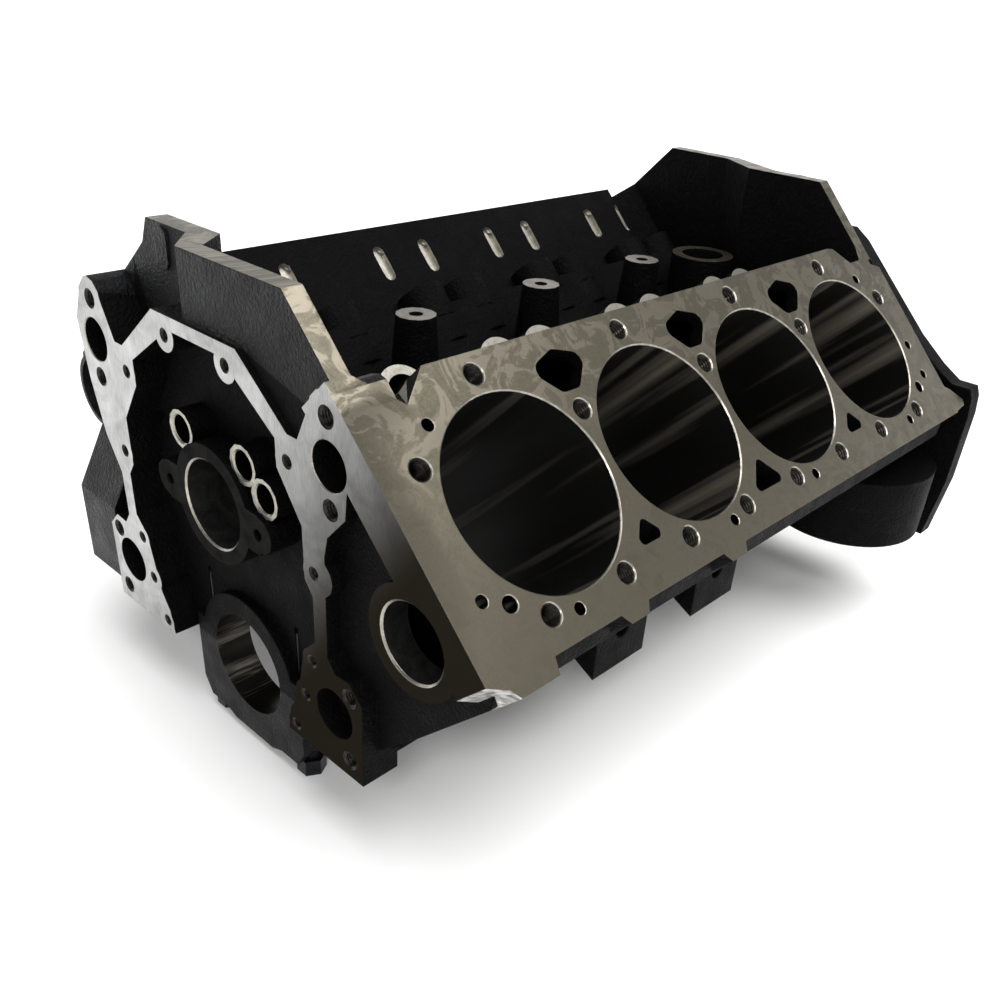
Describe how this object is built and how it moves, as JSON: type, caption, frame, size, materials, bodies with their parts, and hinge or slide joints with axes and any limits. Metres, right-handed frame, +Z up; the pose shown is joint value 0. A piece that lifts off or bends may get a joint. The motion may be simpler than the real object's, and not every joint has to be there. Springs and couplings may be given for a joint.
{
  "type": "engine cylinder block",
  "caption": "Bare cast iron V8 cylinder block with open bores, lifter valley, water jacket, timing rail, bell housing flange and bolted main bearing caps.",
  "frame": {"origin": "crank axis where it crosses the plane of the timing face", "axes": "+Y along the crank from the timing face to the bell face, +Z up between the banks, +X to the left bank"},
  "size_m": [0.4386, 0.546, 0.311],
  "materials": {
    "block_iron": "satin black painted casting with bare machined faces",
    "cap_iron": "dark rough casting with machined joints",
    "bolt_steel": "black oxide",
    "dowel_steel": "ground bright"
  },
  "bodies": {
    "root": {"bell_housing_dowels": "dowel_steel", "cylinder_block": "block_iron", "main_cap_1": "cap_iron", "main_cap_1_bolt_1": "bolt_steel", "main_cap_1_bolt_2": "bolt_steel", "main_cap_2": "cap_iron", "main_cap_2_bolt_1": "bolt_steel", "main_cap_2_bolt_2": "bolt_steel", "main_cap_2_bolt_3": "bolt_steel", "main_cap_2_bolt_4": "bolt_steel", "main_cap_3": "cap_iron", "main_cap_3_bolt_1": "bolt_steel", "main_cap_3_bolt_2": "bolt_steel", "main_cap_3_bolt_3": "bolt_steel", "main_cap_3_bolt_4": "bolt_steel", "main_cap_4": "cap_iron", "main_cap_4_bolt_1": "bolt_steel", "main_cap_4_bolt_2": "bolt_steel", "main_cap_4_bolt_3": "bolt_steel", "main_cap_4_bolt_4": "bolt_steel", "main_cap_5": "cap_iron", "main_cap_5_bolt_1": "bolt_steel", "main_cap_5_bolt_2": "bolt_steel"}
  },
  "joints": []
}
